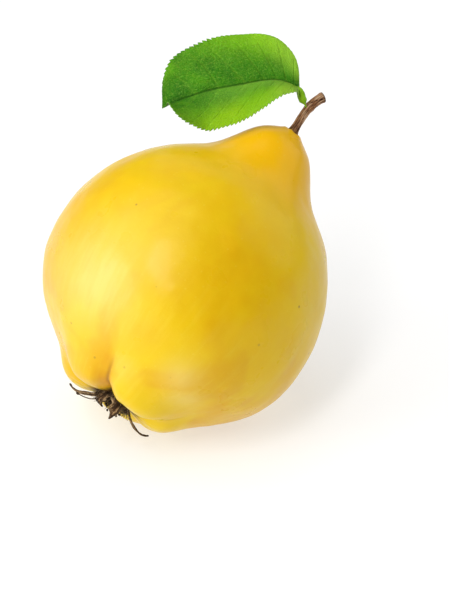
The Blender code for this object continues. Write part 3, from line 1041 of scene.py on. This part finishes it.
def blade_waves(point):
    """A gentle unevenness of the whole blade."""
    spot = Vector(point)
    return WAVE_HEIGHT * noise(spot * 110) + 0.3 * WAVE_HEIGHT * noise(spot * 330)


def blade_relief(s, out, vein, point):
    """How far the blade rises at a place: quilted between the veins, and gently uneven."""
    quilt = QUILT_HEIGHT * (1 - vein) * smooth(out, 0, 0.12) * smooth(1 - out, 0, 0.3)
    quilt *= smooth(s, 0.02, 0.12) * smooth(1 - s, 0.02, 0.12)
    return quilt + blade_waves(point) * smooth(out, 0, 0.5) * smooth(s, 0, 0.2)


def add_sheet(shape, surface, normals, under):
    """The upper or the under skin of the blade, as rows of point numbers."""
    sheet = []
    for i, s in enumerate(shares(MARGIN_STEPS)):
        line = []
        for column in range(2 * BLADE_ROWS + 1):
            out = abs(column - BLADE_ROWS) / BLADE_ROWS
            half = int(column > BLADE_ROWS)
            vein = vein_share(s, out)
            thick = BLADE_THICKNESS * (1 - 0.45 * out) + under * VEIN_HEIGHT * vein * (1 - 0.6 * out)
            lift = blade_relief(s, out, vein, surface[i, column]) + (-thick if under else thick) / 2
            net = (s * NET_ALONG, out * NET_OUT + half * NET_APART, 0)
            line.append(
                shape.add_point(
                    surface[i, column] + normals[i, column] * lift, out=out, along=s, half=half,
                    vein=vein, under=under, vein_map=net,
                )
            )
        sheet.append(line)
    return sheet


def add_blade(shape):
    """The blade: an upper and an under skin that meet at the toothed margin."""
    surface = blade_surface()
    normals = surface_normals(surface)
    add_teeth(surface)
    upper, lower = (add_sheet(shape, surface, normals, under) for under in (0, 1))
    shape.join_rows(upper)
    shape.join_rows(lower)
    for end in (0, -1):
        shape.join_rows([upper[end], lower[end]])
        shape.join_rows([[row[end] for row in sheet] for sheet in (upper, lower)])


def rib_radius(share, turn):
    """The leaf stalk's radius, and then the midrib's, at a share of the whole run."""
    swell = 0.24 + smooth(share, 0.025, 0.085)
    thin = 1 - 0.6 * smooth(share, 0.15, 0.27)
    ripple = 1 + 0.05 * cos(3 * turn) + 0.06 * noise(Vector((turn, share * 30, 0)))
    return MM * swell * thin * (1 - 0.9 * smooth(share, 0.2, 1)) * ripple


def make_leaf(place, look):
    """The leaf: its stalk, a midrib that stands out underneath, and the folded blade."""
    shape = Shape()
    add_blade(shape)
    spine = []
    for share in shares(MIDRIB_RINGS):
        share *= MIDRIB_ENDS
        sunk = smooth(share, 0.17, 0.3) * rib_radius(share, 0) * 0.8
        spine.append(smooth_path(MIDRIB_POINTS, share) - LEAF_FACE * sunk)
    add_tube(
        shape, spine, lambda share, turn: rib_radius(share * MIDRIB_ENDS, turn), MIDRIB_SIDES,
        stem=1, out=0.3,
    )
    joint = place(stalk_bones(STALK_POINTS)[round(LEAF_JOINT * (STALK_POINTS - 1))])
    base = joint + LEAF_JOINT_FACES * (STALK_RADIUS + LEAF_NECK_RADIUS + GAP)
    shape.make("quince_leaf", lambda point: base + point, look, "leaf_green", "leaf")


def sepal_line(sepal):
    """The centre line of a sepal, about the heart."""
    start = (SEPAL_ROOT, (GAP + SEPAL_THICKNESS / 2) / MM)
    knots = [Vector((*knot, 0)) for knot in [start, *sepal.handles]]
    line = interpolate_bezier(*knots, SEPAL_STATIONS)
    return [off_skin(from_eye, sepal.azimuth, lift * MM) for from_eye, lift, _ in line]


def sepal_width(sepal, share, seed):
    """A sepal's half width at a share of its length."""
    taper, power = SEPAL_TAPER
    uneven = 1 + SEPAL_UNEVEN * noise(seed + UP * share * 6)
    width = sepal.half_width * (1 - taper * share**power) * uneven
    width += ROOT_FLARE * (1 - smooth(share, 0, 0.22))
    return (width + sepal.bulge * hump(share, 0.5, 0.28)) * MM


def add_sepal_ring(shape, point, side, face, width, share, seed):
    """A closed ring of points round a sepal, cupped and wrinkled."""
    upper, lower = [], []
    cup = SEPAL_CUP * (0.3 + 1.25 * smooth(share, 0.05, 0.8))
    for k in range(SEPAL_ACROSS):
        y = 2 * k / (SEPAL_ACROSS - 1) - 1
        angle = y * cup
        spot = point + (side * sin(angle) + face * (1 - cos(angle))) * width / cup
        for height, (across, along, shift) in WRINKLES:
            wrinkle = height * MM * noise(seed + Vector((y * across, share * along, shift)))
            spot += face * wrinkle * smooth(share, 0, 0.15)
        normal = (face * cos(angle) - side * sin(angle)).normalized()
        thick = SEPAL_THICKNESS * (1.25 - 0.6 * y**2) * (1 - 0.25 * share)
        grain = (y * 4.2 + share * 3, share * 2.4, seed.x)
        for section, lift in ((upper, thick / 2), (lower, -thick / 2)):
            section.append(
                shape.add_point(spot + normal * lift, length=share, edge=abs(y) ** 3, grain_map=grain)
            )
    return upper + lower[::-1]


def make_sepal(name, sepal, place, look):
    """A dried sepal: a strip, cupped, twisted and wrinkled, that runs out to a point."""
    shape = Shape()
    line = sepal_line(sepal)
    across = across_eye(sepal.azimuth + 90)
    chance = Random(name)
    twist_end = chance.uniform(-SEPAL_TWIST, SEPAL_TWIST)
    seed = Vector((chance.uniform(0, 50), 0, 0))
    rings = []
    for point, run, share in zip(line, tangents(line), shares(SEPAL_STATIONS)):
        side = (across - run * across.dot(run)).normalized()
        side.rotate(Matrix.Rotation(radians(twist_end * share**1.5), 3, run))
        face = side.cross(run).normalized()
        width = sepal_width(sepal, share, seed)
        rings.append(add_sepal_ring(shape, point, side, face, width, share, seed))
    shape.join_strips(rings)
    shape.make(f"quince_{name}", place, look, "dried_sepal", name)


def thread_points(foot, height, splay, across, seed):
    """Points up one thread, from its foot, with a little waver."""
    found = []
    for share in shares(THREAD_RINGS):
        spot = foot + EYE_OUT * height * sin(share * pi / 2) + across * splay * share**2
        swing = THREAD_WAVER * noise(seed + UP * share * 3) * sin(share * pi)
        found.append(spot + EYE_OUT.cross(across) * swing)
    return found


def add_knob(shape, centre, axis, length, width, seed):
    """A shrivelled knob: a small lumpy ball, with its length along the axis."""
    side = axis.orthogonal().normalized()
    other = axis.cross(side)
    rings = []
    for i in range(1, KNOB_RINGS):
        lean = pi * i / KNOB_RINGS
        ring = []
        for k, turn in enumerate(turns(KNOB_SEGMENTS)):
            out = side * cos(turn) + other * sin(turn)
            lumps = 1 + 0.35 * noise(seed + out * 1.6 + axis * cos(lean) * 1.6)
            groove = 1 - 0.25 * abs(cos(turn)) ** 6
            spot = centre + axis * cos(lean) * length * lumps
            spot += out * sin(lean) * width * lumps * groove
            ring.append(shape.add_point(spot, length=0.9, grain_map=(k, lean, seed.x), edge=0.2))
        rings.append(ring)
    ends = (shape.add_point(centre + axis * length * sign, length=0.9) for sign in (1, -1))
    shape.join_bar(rings, *ends)


def make_tuft(name, tuft, place, look):
    """A ring of dried threads standing in the eye, each ending in a knob."""
    chance = Random(name)
    for k in range(tuft.count):
        azimuth = 360 * (k + 0.5) / tuft.count
        height, splay = chance.uniform(*tuft.heights), chance.uniform(*tuft.splays)
        if (name, k) == STRAY:
            height, splay = STRAY_REACH
        shape = Shape()
        seed = Vector((k * 7.3, tuft.count, 0))
        foot = off_skin(tuft.root, azimuth, TUFT_GAP - THREAD_FOOT)
        points = thread_points(foot, height * MM + THREAD_FOOT, splay * MM, across_eye(azimuth), seed)

        def radius_at(share, turn):
            lump = 1 + 0.18 * noise(seed + Vector((turn, 0, share * 9)))
            return tuft.radius * MM * (1.25 - 0.5 * smooth(share, 0, 0.7)) * lump

        grain = (k * 3.1, 0.5, tuft.count)
        add_tube(shape, points, radius_at, THREAD_SIDES, grain_map=grain, edge=0.15)
        axis = (points[-1] - points[-2]).normalized()
        size = 0.8 + 0.4 * Random(f"{name} {k}").random()
        length, width = tuft.knob
        add_knob(shape, points[-1], axis, length * size * MM, width * size * MM, seed)
        node = f"{name}_{k + 1:02d}"
        shape.make(f"quince_{node}", place, look, f"dried_{name}", node)


def hair_points(foot, reach, lean, seed):
    """Points up one hair, from its foot, with a curl."""
    found = []
    for i, share in enumerate(shares(WOOL_RINGS)):
        spot = seed + UP * 0.5 * i
        curl = Vector([noise(spot + UP * shift) for shift in (0, 9, -9)])
        found.append(foot + EYE_OUT * reach * share + lean * share**2 + curl * WOOL_CURL * share)
    return found


def make_wool(place, look):
    """Short dried hairs, felted together, between the threads."""
    chance = Random("wool")
    shape = Shape()
    for k in range(WOOL_HAIRS):
        from_eye, azimuth = WOOL_WITHIN * sqrt(chance.random()), chance.uniform(0, 360)
        foot = off_skin(from_eye, azimuth, WOOL_FOOT)
        reach = chance.uniform(*WOOL_LENGTH) * MM
        lean = across_eye(azimuth + chance.gauss(0, 70)) * reach * chance.uniform(0.1, 0.8)
        points = hair_points(foot, reach, lean, Vector((k * 3.7, 0, 0)))
        thick = WOOL_RADIUS * chance.uniform(0.6, 1.3)
        values = {"grain_map": (k * 1.7, 0.5, 3), "edge": chance.random() ** 3}
        add_tube(shape, points, lambda share, _, r=thick: r * (1.2 - 0.8 * share), WOOL_SIDES, **values)
    shape.make("quince_wool", place, look, "dried_stamen")


# ---- the picture


def make_floor():
    """A wide pale table."""
    half = FLOOR_SIZE / 2
    mesh = bpy.data.meshes.new("floor")
    corners = ((-half, -half), (half, -half), (half, half), (-half, half))
    mesh.from_pydata([(x, y, -FLOOR_DROP) for x, y in corners], [], [(0, 1, 2, 3)])
    mesh.materials.append(floor_look())
    floor = add_object("floor", mesh)


def stand(name, data, spot, out):
    """A light or a camera at a spot, looking back along a direction."""
    obj = add_object(name, data)
    obj.location = spot
    obj.rotation_mode = "QUATERNION"
    obj.rotation_quaternion = out.to_track_quat("Z", "Y")
    return obj


def make_light(name, direction, distance, size, watts, colour):
    """A rectangular softbox in a direction from the fruit, facing it."""
    light = bpy.data.lights.new(name, "AREA")
    light.shape = "RECTANGLE"
    light.size, light.size_y = size
    light.energy = watts
    light.color = colour
    out = Vector(direction).normalized()
    stand(name, light, out * distance + LIGHTS_AIM, out).visible_camera = False


def make_world():
    """Even white surroundings."""
    world = bpy.data.worlds.new("studio")
    world.use_nodes = True
    inputs = world.node_tree.nodes["Background"].inputs
    inputs["Color"].default_value = (*WHITE, 1)
    inputs["Strength"].default_value = WORLD_GLOW
    bpy.context.scene.world = world


def make_camera(heart):
    """Above and in front of the fruit, as if on a long lens."""
    lean = radians(CAMERA_ELEVATION)
    back = Vector((0, -cos(lean), sin(lean)))
    image_up = Vector((0, sin(lean), cos(lean)))
    data = bpy.data.cameras.new("camera")
    data.lens = CAMERA_LENS
    aim = heart + Vector((AIM_RIGHT, 0, 0)) - image_up * AIM_DOWN
    bpy.context.scene.camera = stand("camera", data, aim + back * CAMERA_DISTANCE, back)


def main():
    """The fruit's pieces, then the table, the lights and the camera."""
    bpy.ops.wm.read_factory_settings(use_empty=True)
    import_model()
    shape = make_skin_shape()
    heart = heart_from_frame(shape)
    place = placer(heart)
    make_skin(shape, place, skin_look())
    make_stalk(place, bark_look())
    make_leaf(place, leaf_look())
    sepal_look = dried_look("quince_sepal", *DRIED_SEPAL)
    for name, sepal in SEPALS.items():
        make_sepal(name, sepal, place, sepal_look)
    make_tuft("stamen", STAMENS, place, dried_look("quince_stamen", *DRIED_STAMEN))
    make_tuft("style", STYLES, place, dried_look("quince_style", *DRIED_STYLE))
    make_wool(place, dried_look("quince_wool", *DRIED_WOOL))
    make_floor()
    make_world()
    for name, light in LIGHTS.items():
        make_light(name, *light)
    make_camera(heart)
    bpy.context.scene.view_settings.view_transform = "Standard"


main()
